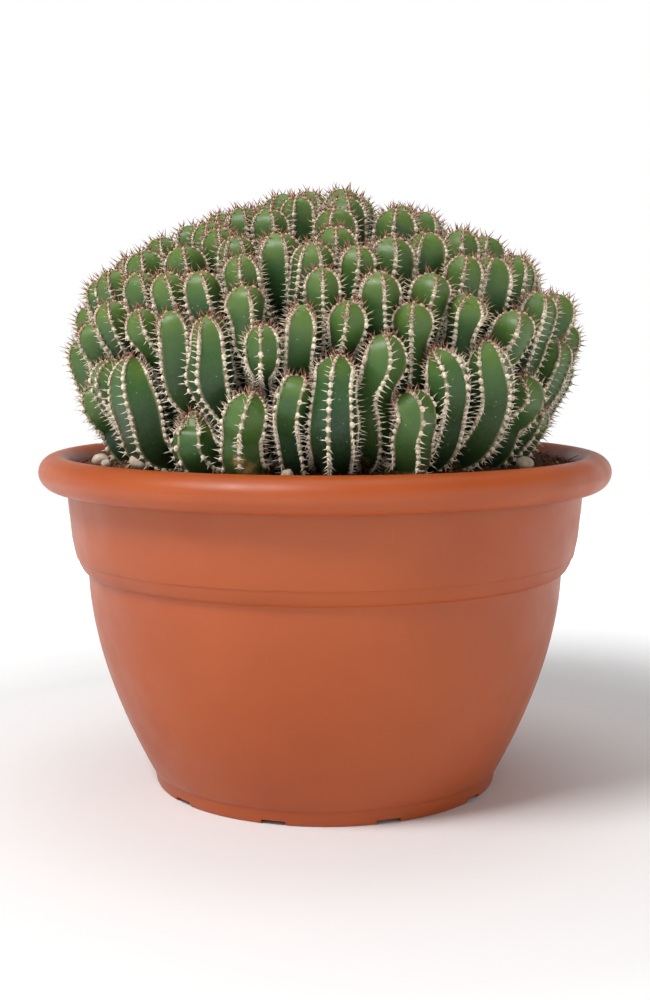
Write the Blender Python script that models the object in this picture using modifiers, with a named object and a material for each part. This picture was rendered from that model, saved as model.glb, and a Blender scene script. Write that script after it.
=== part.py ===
"""A spiny clump-forming succulent in a moulded plastic bowl: pot, soil, pebbles and limbs.

Metres, +Z up. The origin is the middle of the pot's foot, on the surface that it stands on, and
the front of the clump faces -Y. Lengths below are in millimetres and are scaled by MM when they
reach Blender. Each limb is one plant body: a leading stem and the offsets that fork from its foot.
"""

import math
import random

import bmesh
import bpy
import numpy as np

MM = 0.001
FIT_GAP = 0.3  # between pieces that rest on each other
TURN_STEPS = 40  # facets round the pot and the soil

# The pot: a bowl with a rolled lip, a moulded band under it and a foot ring with drain notches.
WALL = 3.0
LIP_CENTRE = (187.0, 221.5)
LIP_OUT = 13.0
LIP_IN = 9.0
LIP_RISE = 12.0
LIP_CURL = math.radians(-65)  # where the rolled edge stops, below the horizontal
LIP_HOLLOW = math.radians(160)  # where the hollow under the lip meets the outer wall
BODY_RADIUS = 167.0
BODY_HEIGHT = 151.0
FOOT_HEIGHT = 10.0
BODY_FLARE = 43.0  # how far the bowl draws in from its shoulder to its foot
BODY_POWER = 1.75
BODY_RINGS = (151.0, 125.0, 95.0, 66.0, 37.0)  # heights that the turned wall is drawn through
INNER_RINGS = (32.0, 62.0, 98.0)
BAND = ((180.3, 202.0), (178.0, 176.0), (175.6, 164.0), (174.0, 161.5), (171.3, 155.0), (168.2, 152.0))
FOOT_RADIUS = 121.0
FOOT_WIDTH = 4.0
FOOT_SHELF = (2.2, 0.8)  # the small step between the bowl and its foot, out and down
FLOOR_UNDER = 8.0
NOTCHES = 10
NOTCH_WIDTH = 17.0
NOTCH_RISE = 2.8
CUTTER_REACH = 20.0  # through the foot ring, and through the floor
NOTCH_FIRST = math.radians(-52)  # from the front, the way the other notches follow
DRAIN_HOLES = 5
DRAIN_RADIUS = 5.0
DRAIN_CIRCLE = 80.0
DRAIN_STEPS = 10

# The soil, a solid that fills the pot up to a little below the lip.
SOIL_EDGE = 224.0
SOIL_LEVEL = 230.0
SOIL_LEVEL_RADIUS = 150.0
SOIL_LAP = 0.6  # how far its edge draws in where it meets the lip

# The clump's outline over the stem tips: widest at one height, flattening to the top.
HEART = 255.0  # the height that elevations are taken from
DOME_TOP = 420.0
DOME_WIDE_HEIGHT = 325.0
DOME_RADIUS = 167.0
DOME_POWER = 2.2
SKIRT_DRAW = 36.0
SKIRT_HEIGHT = 100.0
DOME_SEARCH = (20.0, 300.0)  # distances from the heart that hold the outline
DOME_HALVINGS = 40
DOME_LOWEST = -11.0  # degrees

# Stems, as azimuth from the front towards +X, elevation of the tip over the heart, and girth.
FRONT_STEMS = (
    # low on the outside
    (-66, 10, 27), (-55, 15, 30), (-46, 16, 31), (-30, 5, 31), (-15, 9, 31), (-5, 12, 23),
    (3, 16, 31), (11, 22, 31), (16, 9, 27), (23, 17, 31), (35, 19, 30), (48, 12, 30),
    (65, 19, 29), (61, 6, 26),
    # the middle of the front
    (-68, 22, 27), (-56, 26, 26), (-42, 26, 30), (-34, 24, 25), (-26, 23, 29), (-17, 29, 27),
    (-11, 24, 24), (-5, 26, 28), (4, 26, 29), (-2, 33, 24), (12, 31, 26), (18, 26, 24),
    (24, 30, 25), (32, 27, 28), (46, 24, 25), (58, 28, 29),
    # the shoulder
    (-80, 32, 26), (-69, 34, 26), (-86, 40, 25), (-61, 40, 26), (-47, 32, 25), (-39, 31, 24),
    (-30, 33, 26), (-23, 35, 24), (-41, 41, 26), (-34, 47, 25), (-24, 44, 25), (-13, 43, 28),
    (-5, 39, 25), (3, 47, 29), (9, 40, 25), (18, 43, 29), (38, 37, 24), (33, 46, 26),
    (48, 37, 29), (64, 38, 26), (54, 49, 25),
    # towards the top
    (-100, 45, 25), (-82, 48, 25), (-66, 53, 25), (-48, 53, 26), (-52, 64, 26), (-27, 60, 26),
    (-21, 72, 26), (5, 60, 27), (39, 62, 27), (63, 62, 26), (89, 70, 26), (32, 82, 31),
    (-60, 78, 30), (-81, 63, 26), (-140, 84, 25),
)
FILL_SEED = 15
FILL_TRIES = 3000
FILL_SPACING = 31.0
FILL_GIRTHS = (25.0, 30.0)
FILL_LOWEST = math.radians(15)
FOOT_SPREAD = 132.0  # radius of the circle that the stems' feet fill
TIP_SPACING = 27.0
TIP_EASE = 0.25  # share of a crowding that one round takes away
RING_EASE = 0.4
FOOT_LEAN = 1.45  # how far a foot leans out, in shares of the lean from foot to tip
TIP_LEAN = 0.4
HANDLES = (0.33, 0.45)  # of the stem's length, at its foot and its tip
STEM_RINGS = (0.0, 0.33, 0.66)  # along a stem's axis, below its shoulder and tip
SHOULDER_DROP = 8.5  # from the tip
STEM_SWELL = (0.66, 0.86, 1.0, 0.92, 0.42)  # of its half girth, foot to tip
RING_YIELD = (0.5, 0.5, 0.5, 0.3, 0.3)  # how freely each ring moves, foot to tip
RING_RISE = (0.0, 0.2, 0.3, 0.3, 0.3)  # and how much of that is up or down
LIMB_GAP = 1.6
LIMBS = 50
LIMB_ROUNDS = 25
LIMB_ROW = 30.0  # depth of the rows that the limbs are numbered by
FORK_LIFT = 7.0  # of an offset's first ring over its limb's foot
FORK_RADIUS = 6.0
FORK_MOST = 0.5  # of the way to the leader's next ring
FORK_PULL = 0.45  # of an offset's second ring towards where its foot was
SAMPLES = 4  # between two rings, where clearances are measured
LEAST_RADIUS = 1.0
SETTLE_ROUNDS = 60

# Pebbles on the soil: azimuth, distance from the middle, half sizes, turn.
PEBBLES = (
    ("pebble_large", -46, 160.0, (9.0, 6.5, 5.5), 20),
    ("pebble_left", -65, 164.0, (6.5, 5.0, 4.0), -35),
    ("pebble_left_small", -60, 165.0, (4.0, 3.5, 3.0), 50),
    ("pebble_front", -8, 162.0, (4.0, 3.0, 3.0), 10),
    ("pebble_right", 52, 162.0, (6.5, 5.0, 4.0), 30),
    ("pebble_back", 160, 162.0, (7.0, 6.0, 4.5), 75),
)


# Materials


def material(name, colour, roughness):
    """A plain Principled material in a linear colour."""
    made = bpy.data.materials.new(name)
    made.use_nodes = True
    shader = made.node_tree.nodes["Principled BSDF"]
    shader.inputs["Base Color"].default_value = (*colour, 1.0)
    shader.inputs["Roughness"].default_value = roughness
    shader.inputs["Metallic"].default_value = 0.0
    return made


# Small helpers


def polar(azimuth, radius, height):
    """The point at this azimuth from the front, towards +X."""
    return np.array([radius * math.sin(azimuth), -radius * math.cos(azimuth), height])


def add(collection, name, mesh, finish, location=(0.0, 0.0, 0.0)):
    piece = bpy.data.objects.new(name, mesh)
    piece.location = location
    if finish:
        mesh.materials.append(finish)
    collection.objects.link(piece)
    return piece


def turned(collection, name, outline, finish):
    """A solid of revolution: outline is (radius, height) in mm, down the outer side."""
    mesh = bpy.data.meshes.new(name)
    points = [(radius * MM, 0.0, height * MM) for radius, height in outline]
    mesh.from_pydata(points, [(i, i + 1) for i in range(len(points) - 1)], [])
    piece = add(collection, name, mesh, finish)
    screw = piece.modifiers.new("Turn", "SCREW")
    screw.steps = TURN_STEPS
    screw.render_steps = TURN_STEPS
    screw.use_merge_vertices = True
    screw.merge_threshold = 0.00005
    screw.use_smooth_shade = True
    return piece


def boolean(piece, operation, other, solver="EXACT"):
    """Cuts or joins with another object, or with all of a collection."""
    modifier = piece.modifiers.new(other.name, "BOOLEAN")
    modifier.operation = operation
    modifier.solver = solver
    if isinstance(other, bpy.types.Collection):
        modifier.operand_type = "COLLECTION"
        modifier.collection = other
    else:
        modifier.object = other


def hide_tool(piece):
    piece.hide_render = True
    piece.display_type = "WIRE"


# The pot and the soil


def bowl_radius(height):
    """The bowl's outer radius between its foot and its shoulder."""
    drop = (BODY_HEIGHT - height) / (BODY_HEIGHT - FOOT_HEIGHT)
    return BODY_RADIUS - BODY_FLARE * drop**BODY_POWER


def lip_arc(start, end, count, inset):
    """Points round the rolled lip, inset mm inside its outer face."""
    points = []
    for angle in np.linspace(start, end, count):
        reach = (LIP_OUT if math.cos(angle) > 0 else LIP_IN) - inset
        rise = LIP_RISE - inset
        points.append((LIP_CENTRE[0] + reach * math.cos(angle), LIP_CENTRE[1] + rise * math.sin(angle)))
    return points


def inner_wall(gap):
    """The pot's inner wall from its floor upwards, gap mm inside it."""
    floor = FLOOR_UNDER + WALL + gap
    inset = WALL + gap
    heights = (floor, *INNER_RINGS, BODY_HEIGHT)
    bowl = [(bowl_radius(height) - inset, height) for height in heights]
    return bowl + [(BAND[3][0] - inset, BAND[3][1]), (BAND[1][0] - inset, BAND[1][1])]


def pot_outline():
    floor = [(0.0, FLOOR_UNDER + WALL)]
    inside = inner_wall(0.0)
    lip = lip_arc(math.pi, LIP_CURL, 9, 0.0)
    hollow = lip_arc(LIP_CURL, LIP_HOLLOW, 6, WALL)
    bowl = [(bowl_radius(height), height) for height in (*BODY_RINGS, FOOT_HEIGHT)]
    foot = [
        (FOOT_RADIUS + FOOT_SHELF[0], FOOT_HEIGHT - FOOT_SHELF[1]),
        (FOOT_RADIUS, 0.0),
        (FOOT_RADIUS - FOOT_WIDTH, 0.0),
        (FOOT_RADIUS - FOOT_WIDTH, FLOOR_UNDER),
        (0.0, FLOOR_UNDER),
    ]
    return floor + inside + lip + hollow + list(BAND) + bowl + foot


def add_pot(parts, cutters, finish):
    pot = turned(parts, "pot", pot_outline(), finish)
    drains = bpy.data.collections.new("drain_cutters")
    cutters.children.link(drains)
    for i in range(NOTCHES):
        azimuth = NOTCH_FIRST + i * 2 * math.pi / NOTCHES
        bpy.ops.mesh.primitive_cube_add(size=1.0, location=polar(azimuth, FOOT_RADIUS, 0.0) * MM)
        notch = bpy.context.object
        notch.name = f"notch_{i + 1}"
        notch.scale = (NOTCH_WIDTH * MM, CUTTER_REACH * MM, 2 * NOTCH_RISE * MM)
        notch.rotation_euler.z = azimuth
        move_to(notch, drains)
    for i in range(DRAIN_HOLES):
        azimuth = NOTCH_FIRST + i * 2 * math.pi / DRAIN_HOLES
        bpy.ops.mesh.primitive_cylinder_add(
            vertices=DRAIN_STEPS, radius=DRAIN_RADIUS * MM, depth=CUTTER_REACH * MM,
            location=polar(azimuth, DRAIN_CIRCLE, FLOOR_UNDER) * MM,
        )
        drain = bpy.context.object
        drain.name = f"drain_{i + 1}"
        move_to(drain, drains)
    boolean(pot, "DIFFERENCE", drains)


def move_to(piece, collection):
    """Moves a new primitive out of the scene's own collection, as a cutter."""
    for owner in list(piece.users_collection):
        owner.objects.unlink(piece)
    collection.objects.link(piece)
    hide_tool(piece)


def soil_height(radius):
    slope = (SOIL_LEVEL - SOIL_EDGE) / (inner_rim() - SOIL_LEVEL_RADIUS)
    return SOIL_LEVEL - slope * max(0.0, radius - SOIL_LEVEL_RADIUS)


def inner_rim():
    return LIP_CENTRE[0] - LIP_IN - FIT_GAP


def add_soil(parts, finish):
    top = [(0.0, SOIL_LEVEL), (SOIL_LEVEL_RADIUS * 0.5, SOIL_LEVEL), (SOIL_LEVEL_RADIUS, SOIL_LEVEL)]
    wall = [(inner_rim() - SOIL_LAP, SOIL_EDGE)] + inner_wall(FIT_GAP)[::-1]
    floor = [(0.0, FLOOR_UNDER + WALL + FIT_GAP)]
    turned(parts, "soil", top + wall + floor, finish)


def add_pebbles(parts, finish):
    for name, degrees, radius, half_sizes, turn in PEBBLES:
        reach = max(half_sizes[:2])
        height = soil_height(radius - reach) + half_sizes[2] + FIT_GAP
        mesh = bpy.data.meshes.new(name)
        shape = bmesh.new()
        bmesh.ops.create_icosphere(shape, subdivisions=1, radius=MM)
        bmesh.ops.scale(shape, verts=shape.verts, vec=half_sizes)
        shape.to_mesh(mesh)
        shape.free()
        pebble = add(parts, name, mesh, finish, polar(math.radians(degrees), radius, height) * MM)
        pebble.rotation_euler.z = math.radians(turn)


# The clump's outline


def dome_radius(height):
    """The outline's radius at a height."""
    if height < DOME_WIDE_HEIGHT:
        return DOME_RADIUS - SKIRT_DRAW * ((DOME_WIDE_HEIGHT - height) / SKIRT_HEIGHT) ** 2
    share = min(1.0, (height - DOME_WIDE_HEIGHT) / (DOME_TOP - DOME_WIDE_HEIGHT))
    return DOME_RADIUS * (1.0 - share**DOME_POWER)


def dome_point(azimuth, elevation):
    """Where a line from the heart at this azimuth and elevation meets the outline."""
    near, far = DOME_SEARCH
    for _ in range(DOME_HALVINGS):
        middle = (near + far) / 2
        height = HEART + middle * math.sin(elevation)
        inside = height < DOME_TOP and middle * math.cos(elevation) < dome_radius(height)
        near, far = (middle, far) if inside else (near, middle)
    return polar(azimuth, near * math.cos(elevation), HEART + near * math.sin(elevation))


def dome_shares():
    """Elevations, and the share of the outline's area that lies above each."""
    elevations = np.radians(np.arange(90.0, DOME_LOWEST, -1.0))
    rings = [dome_point(0.0, elevation) for elevation in elevations]
    area = [0.0]
    for upper, lower in zip(rings, rings[1:]):
        area.append(area[-1] - (upper[1] + lower[1]) * np.linalg.norm(upper - lower))
    return elevations, np.array(area) / area[-1]


# Growing the stems


def all_tips():
    """Tips and girths: the front ones as planted, and the rest where there is room."""
    tips = []
    for degrees, elevation, girth in FRONT_STEMS:
        tips.append((dome_point(math.radians(degrees), math.radians(elevation)), float(girth)))
    chance = random.Random(FILL_SEED)
    elevations, shares = dome_shares()
    for _ in range(FILL_TRIES):
        azimuth = chance.uniform(-math.pi, math.pi)
        elevation = np.interp(chance.random(), shares, elevations)
        girth = chance.uniform(*FILL_GIRTHS)
        if elevation < FILL_LOWEST:
            continue
        point = dome_point(azimuth, elevation)
        taken = np.array([other for other, _ in tips])
        if np.linalg.norm(taken - point, axis=1).min() > FILL_SPACING:
            tips.append((point, girth))
    points = np.array([point for point, _ in tips])
    return spread_tips(points), np.array([girth for _, girth in tips])


def spread_tips(points):
    """Eases crowded tips apart, along the outline."""
    for _ in range(SETTLE_ROUNDS):
        between = points[:, None] - points[None]
        distance = np.linalg.norm(between, axis=2) + np.eye(len(points)) * 1e6
        push = np.clip(TIP_SPACING - distance, 0.0, None) / distance * TIP_EASE
        points = points + (between * push[:, :, None]).sum(axis=1)
        points = np.array([onto_dome(point) for point in points])
    return points


def onto_dome(point):
    azimuth = math.atan2(point[0], -point[1])
    elevation = math.atan2(point[2] - HEART, math.hypot(point[0], point[1]))
    return dome_point(azimuth, elevation)


def stem_axis(tip, shares_above):
    """A stem's rings, from its foot on the soil, out and then up to its tip."""
    elevations, shares = shares_above
    flat = math.hypot(tip[0], tip[1])
    azimuth = math.atan2(tip[0], -tip[1])
    elevation = math.atan2(tip[2] - HEART, flat)
    share = np.interp(-elevation, -elevations, shares)
    foot = polar(azimuth, FOOT_SPREAD * math.sqrt(share), SOIL_LEVEL + FIT_GAP)
    rise, run = tip[2] - foot[2], flat - math.hypot(foot[0], foot[1])
    lean = math.atan2(run, rise)
    length = math.hypot(rise, run)
    outward = polar(azimuth, math.sin(FOOT_LEAN * lean), math.cos(FOOT_LEAN * lean))
    upward = polar(azimuth, math.sin(TIP_LEAN * lean), math.cos(TIP_LEAN * lean))
    handles = (foot, foot + outward * HANDLES[0] * length, tip - upward * HANDLES[1] * length, tip)
    rings = []
    for t in (*STEM_RINGS, 1.0 - SHOULDER_DROP / length, 1.0):
        weights = ((1 - t) ** 3, 3 * t * (1 - t) ** 2, 3 * t * t * (1 - t), t**3)
        rings.append(sum(weight * handle for weight, handle in zip(weights, handles)))
    return np.array(rings)


def limb_groups(feet):
    """Stems that share a limb: nearest to the same one of LIMBS centres, evened by averaging."""
    turns = np.arange(LIMBS) * math.pi * (3 - math.sqrt(5))
    reach = FOOT_SPREAD * np.sqrt((np.arange(LIMBS) + 0.5) / LIMBS)
    centres = np.stack([reach * np.cos(turns), reach * np.sin(turns)], axis=1)
    for _ in range(LIMB_ROUNDS):
        nearest = np.linalg.norm(feet[:, None] - centres[None], axis=2).argmin(axis=1)
        for limb in set(nearest):
            centres[limb] = feet[nearest == limb].mean(axis=0)
    order = sorted(set(nearest), key=lambda limb: (round(centres[limb][1] / LIMB_ROW), centres[limb][0]))
    return [np.nonzero(nearest == limb)[0] for limb in order]


def settle(axes, girths):
    """Eases the stems' middles apart, so that limbs keep clear of each other."""
    swell = np.array(STEM_SWELL)
    reach = (girths[:, None] / 2 * swell[None]).reshape(-1)
    rings = len(STEM_SWELL)
    stem = np.repeat(np.arange(len(axes)), rings)
    yielding = np.tile(RING_YIELD, len(axes))
    points = axes.reshape(-1, 3).copy()
    wanted = reach[:, None] + reach[None] + LIMB_GAP
    for _ in range(SETTLE_ROUNDS):
        between = points[:, None] - points[None]
        distance = np.linalg.norm(between, axis=2)
        distance[stem[:, None] == stem[None]] = 1e6
        push = np.clip(wanted - distance, 0.0, None) / distance * RING_EASE
        move = (between * push[:, :, None]).sum(axis=1) * yielding[:, None]
        move[:, 2] *= np.tile(RING_RISE, len(axes))
        points += move
    return points.reshape(axes.shape)


def leader_of(group, axes):
    """The stem of a group that stands nearest its middle."""
    middle = axes[group, 0].mean(axis=0)
    return group[np.linalg.norm(axes[group, 0] - middle, axis=1).argmin()]


def fork(axes, girths, groups, leaders):
    """Ring radii, with each offset's first ring moved into the foot of its limb's leader."""
    radii = girths[:, None] / 2 * np.array(STEM_SWELL)[None]
    axes[:, 1:, 2] = np.maximum(axes[:, 1:, 2], SOIL_LEVEL + 2 * FIT_GAP + radii[:, 1:])
    for group, leader in zip(groups, leaders):
        foot, above = axes[leader, 0], axes[leader, 1]
        tilt = math.atan2(np.linalg.norm(above[:2] - foot[:2]), above[2] - foot[2])
        foot[2] += radii[leader, 0] * math.sin(tilt)  # a leaning foot rests on its lower edge
        share = min(FORK_MOST, FORK_LIFT / (above[2] - foot[2]))
        for stem in group:
            if stem == leader:
                continue
            own_foot = axes[stem, 0].copy()
            axes[stem, 0] = foot + (above - foot) * share
            axes[stem, 1, :2] = own_foot[:2] * FORK_PULL + axes[stem, 1, :2] * (1 - FORK_PULL)
            radii[stem, 0] = FORK_RADIUS
    return radii


def samples(axis, radius):
    """Points along a stem and the radius at each, closer together than its rings."""
    at = np.linspace(0, len(axis) - 1, SAMPLES * (len(axis) - 1) + 1)
    points = np.stack([np.interp(at, range(len(axis)), axis[:, k]) for k in range(3)], axis=1)
    return points, np.interp(at, range(len(axis)), radius), at


def clear_radii(axes, radii, groups):
    """Thins each ring to half the clearance to the nearest other stem, except where a limb forks."""
    limb_of = np.zeros(len(axes), int)
    for number, group in enumerate(groups):
        limb_of[group] = number
    sampled = [samples(axis, radius) for axis, radius in zip(axes, radii)]
    count = len(sampled[0][0])
    points = np.concatenate([entry[0] for entry in sampled])
    along = np.concatenate([entry[2] for entry in sampled])
    stem_of = np.repeat(np.arange(len(axes)), count)
    cleared = radii.copy()
    for stem, (own, thick, at) in enumerate(sampled):
        distance = np.linalg.norm(own[:, None] - points[None], axis=2)
        same_limb = limb_of[stem_of] == limb_of[stem]
        forking = same_limb[None] & (at[:, None] < 1.0) & (along[None] < 1.0)
        distance[forking | (stem_of == stem)[None]] = 1e6
        free = distance.min(axis=1)
        share = np.minimum(1.0, np.maximum((free - LIMB_GAP) / 2, LEAST_RADIUS) / thick)
        for ring in range(len(STEM_SWELL)):
            near = np.abs(at - ring) < 1.0
            cleared[stem, ring] = radii[stem, ring] * share[near].min()
    return cleared


# The limbs


def stem_guide(name, axis, radius):
    """One stem as a bevelled six-sided curve with capped ends."""
    curve = bpy.data.curves.new(name, "CURVE")
    curve.dimensions = "3D"
    curve.bevel_depth = MM
    curve.bevel_resolution = 1
    curve.use_fill_caps = True
    spline = curve.splines.new("POLY")
    spline.points.add(len(axis) - 1)
    for point, centre, reach in zip(spline.points, axis, radius):
        point.co = (*(centre * MM), 1.0)
        point.radius = reach
    guide = bpy.data.objects.new(name, curve)
    bpy.context.scene.collection.objects.link(guide)
    return guide


def stem_meshes(axes, radii):
    """Every stem as a closed mesh, made from its guide curve."""
    guides = [stem_guide(f"stem_{i}", axis, radius) for i, (axis, radius) in enumerate(zip(axes, radii))]
    graph = bpy.context.evaluated_depsgraph_get()
    meshes = [bpy.data.meshes.new_from_object(guide.evaluated_get(graph)) for guide in guides]
    for guide, mesh in zip(guides, meshes):
        bpy.data.objects.remove(guide)
        shape = bmesh.new()
        shape.from_mesh(mesh)
        bmesh.ops.remove_doubles(shape, verts=shape.verts, dist=0.00001)
        bmesh.ops.recalc_face_normals(shape, faces=shape.faces)
        shape.to_mesh(mesh)
        shape.free()
    return meshes


def add_limb(parts, cutters, number, group, leader, meshes, finish):
    """Joins a limb's stems into one body."""
    limb = add(parts, f"limb_{number:02d}", meshes[leader], finish)
    for stem in group:
        if stem == leader:
            continue
        offset = add(cutters, f"{limb.name}_offset_{stem}", meshes[stem], None)
        hide_tool(offset)
        boolean(limb, "UNION", offset, "MANIFOLD")  # the exact solver leaves slivers in these forks


def add_limbs(parts, cutters, finish):
    tips, girths = all_tips()
    shares = dome_shares()
    axes = np.array([stem_axis(tip, shares) for tip in tips])
    groups = limb_groups(axes[:, 0, :2])
    axes = settle(axes, girths)
    leaders = [leader_of(group, axes) for group in groups]
    radii = fork(axes, girths, groups, leaders)
    radii = clear_radii(axes, radii, groups)
    meshes = stem_meshes(axes, radii)
    for number, (group, leader) in enumerate(zip(groups, leaders), start=1):
        add_limb(parts, cutters, number, group, leader, meshes, finish)


def main():
    for old in list(bpy.data.objects):
        bpy.data.objects.remove(old)
    parts = bpy.data.collections.new("potted_round_cactus")
    cutters = bpy.data.collections.new("cutters")
    bpy.context.scene.collection.children.link(parts)
    bpy.context.scene.collection.children.link(cutters)
    add_pot(parts, cutters, material("terracotta_plastic", (0.50, 0.125, 0.055), 0.45))
    add_soil(parts, material("potting_soil", (0.075, 0.035, 0.02), 0.95))
    add_pebbles(parts, material("pebble_stone", (0.42, 0.33, 0.24), 0.8))
    add_limbs(parts, cutters, material("stem_skin", (0.045, 0.13, 0.035), 0.5))


main()
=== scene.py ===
"""Potted Round Cactus: the looks of a spiny clump-forming succulent in a moulded plastic bowl.

Laid out as an add-on with one operator for each group of pieces. Lengths in the code are in
millimetres, scaled by MM where they reach a mesh. The clump's front faces -Y.
"""

import math
import random

import bmesh
import bpy
import numpy as np
from mathutils import Matrix, Vector, noise


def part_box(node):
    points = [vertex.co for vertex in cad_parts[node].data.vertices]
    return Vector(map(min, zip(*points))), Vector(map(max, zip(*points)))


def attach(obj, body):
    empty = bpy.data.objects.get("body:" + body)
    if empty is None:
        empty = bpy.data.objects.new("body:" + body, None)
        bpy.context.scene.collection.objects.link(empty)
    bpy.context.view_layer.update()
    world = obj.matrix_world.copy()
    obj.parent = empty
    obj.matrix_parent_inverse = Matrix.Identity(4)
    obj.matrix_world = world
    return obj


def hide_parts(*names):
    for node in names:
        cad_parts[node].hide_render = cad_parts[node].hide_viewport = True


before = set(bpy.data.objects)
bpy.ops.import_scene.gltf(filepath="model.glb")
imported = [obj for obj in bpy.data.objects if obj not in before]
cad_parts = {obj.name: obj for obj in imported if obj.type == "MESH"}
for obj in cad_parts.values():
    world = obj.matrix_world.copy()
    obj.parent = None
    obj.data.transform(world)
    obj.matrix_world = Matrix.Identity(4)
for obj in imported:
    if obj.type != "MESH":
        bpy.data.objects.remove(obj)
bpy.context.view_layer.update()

bl_info = {
    "name": "Potted Round Cactus",
    "version": (1, 0, 0),
    "blender": (4, 5, 0),
    "location": "View3D > Sidebar > Cactus",
    "description": "A spiny clump of ribbed stems in a plastic bowl, built around its packed frame",
    "category": "Add Mesh",
}

MM = 0.001

# The pot
LIP_CENTRE = (187.0, 221.5)
LIP_OUT = 13.0
LIP_IN = 9.0
LIP_RISE = 12.0
LIP_CURL = math.radians(-65)
WALL = 3.0
BODY_RADIUS = 167.0
BODY_HEIGHT = 151.0
BODY_FLARE = 43.0
BODY_POWER = 1.75
FOOT_HEIGHT = 10.0
FOOT_RADIUS = 121.0
FOOT_WIDTH = 4.0
FLOOR_UNDER = 8.0
NOTCHES = 10
NOTCH_WIDTH = 17.0
NOTCH_RISE = 2.8
NOTCH_FIRST = math.radians(-52)
DRAIN_HOLES = 5
DRAIN_RADIUS = 5.0
DRAIN_CIRCLE = 80.0

# The soil
SOIL_EDGE = 224.0
SOIL_LEVEL = 230.0
SOIL_LEVEL_RADIUS = 150.0
SOIL_RADIUS = 177.3
SOIL_GRID = 210
FIT_GAP = 0.3
LITTER_SEED = 5
CRUMBS = 1500
FIBRES = 520

# The clump, planted as its frame is
HEART = 255.0
DOME_TOP = 420.0
DOME_WIDE_HEIGHT = 325.0
DOME_RADIUS = 167.0
DOME_POWER = 2.2
SKIRT_DRAW = 36.0
SKIRT_HEIGHT = 100.0
FRONT_STEMS = (
    # azimuth from the front, elevation over the heart, girth: low on the outside
    (-66, 10, 27), (-55, 15, 30), (-46, 16, 31), (-30, 5, 31), (-15, 9, 31), (-5, 12, 23),
    (3, 16, 31), (11, 22, 31), (16, 9, 27), (23, 17, 31), (35, 19, 30), (48, 12, 30),
    (65, 19, 29), (61, 6, 26),
    # the middle of the front
    (-68, 22, 27), (-56, 26, 26), (-42, 26, 30), (-34, 24, 25), (-26, 23, 29), (-17, 29, 27),
    (-11, 24, 24), (-5, 26, 28), (4, 26, 29), (-2, 33, 24), (12, 31, 26), (18, 26, 24),
    (24, 30, 25), (32, 27, 28), (46, 24, 25), (58, 28, 29),
    # the shoulder
    (-80, 32, 26), (-69, 34, 26), (-86, 40, 25), (-61, 40, 26), (-47, 32, 25), (-39, 31, 24),
    (-30, 33, 26), (-23, 35, 24), (-41, 41, 26), (-34, 47, 25), (-24, 44, 25), (-13, 43, 28),
    (-5, 39, 25), (3, 47, 29), (9, 40, 25), (18, 43, 29), (38, 37, 24), (33, 46, 26),
    (48, 37, 29), (64, 38, 26), (54, 49, 25),
    # towards the top
    (-100, 45, 25), (-82, 48, 25), (-66, 53, 25), (-48, 53, 26), (-52, 64, 26), (-27, 60, 26),
    (-21, 72, 26), (5, 60, 27), (39, 62, 27), (63, 62, 26), (89, 70, 26), (32, 82, 31),
    (-60, 78, 30), (-81, 63, 26), (-140, 84, 25),
)
FILL_SEED = 15
FILL_TRIES = 3000
FILL_SPACING = 31.0
FILL_GIRTHS = (25.0, 30.0)
FILL_LOWEST = math.radians(15)
FOOT_SPREAD = 132.0
TIP_SPACING = 27.0
FOOT_LEAN = 1.45
TIP_LEAN = 0.4
STEM_RINGS = (0.0, 0.33, 0.66)
SHOULDER_DROP = 8.5
STEM_SWELL = (0.66, 0.86, 1.0, 0.92, 0.42)
LIMB_GAP = 1.6
LIMBS = 50
SETTLE_ROUNDS = 60

# Stems in detail
RIB_CHOICES = (4, 5, 5, 5, 6)
SECTOR = (0.0, 0.055, 0.16, 0.33, 0.5, 0.67, 0.84, 0.945)  # across a facet, from rib to rib
RING_STEP = 4.0
BURIED = 9.0  # how far a foot goes on under the soil
PAD_STEP = 3.9  # between one spine cushion and the next along a rib
PAD_DEPTH = 105.0  # how far down from the tip the cushions are made
SPINE_LENGTH = 5.3
PAD_SIDES = 6
DOME_SHARE = 0.95  # height of a stem's rounded end, in shares of its radius
DOME_RINGS = 8
WAVE = (0.035, 8.5)  # how deep the growth swellings are, and the mm that set their length
FOOT_THIN = 0.74  # a foot's share of the full radius
FOOT_TAPER = 0.45  # of the stem's length, where it reaches the full radius
FACET_SHARE = 0.925  # a facet's radius against the cushions' crest
CREST_SKIN = 0.965
CREST_PAD = 0.955
AGE_LENGTH = 85.0  # down from the tip, where skin is old
STEM_SEED = 23
RIB_SEED = 100
PEBBLE_NODES = [name for name in sorted(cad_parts) if name.startswith("pebble")]


# Colour and node helpers


def linear(code):
    """A hex sRGB colour as linear RGBA."""
    parts = [int(code[i:i + 2], 16) / 255 for i in (1, 3, 5)]
    return (*[c / 12.92 if c <= 0.04045 else ((c + 0.055) / 1.055) ** 2.4 for c in parts], 1.0)


def node(tree, kind, settings=None, **inputs):
    """Adds a node; inputs whose value is a socket are linked, and underscores stand for spaces."""
    made = tree.nodes.new(kind)
    for key, value in (settings or {}).items():
        setattr(made, key, value)
    for key, value in inputs.items():
        name = key.replace("_", " ")
        socket = made.inputs[int(name[1:])] if name[1:].isdigit() else made.inputs[name]
        if isinstance(value, bpy.types.NodeSocket):
            tree.links.new(value, socket)
        else:
            socket.default_value = value
    return made


def ramp(tree, factor, stops):
    made = node(tree, "ShaderNodeValToRGB", Fac=factor)
    elements = made.color_ramp.elements
    while len(elements) < len(stops):
        elements.new(0.5)
    for element, (place, colour) in zip(elements, stops):
        element.position = place
        element.color = colour if isinstance(colour, tuple) else (colour, colour, colour, 1.0)
    return made.outputs["Color"]


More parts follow.
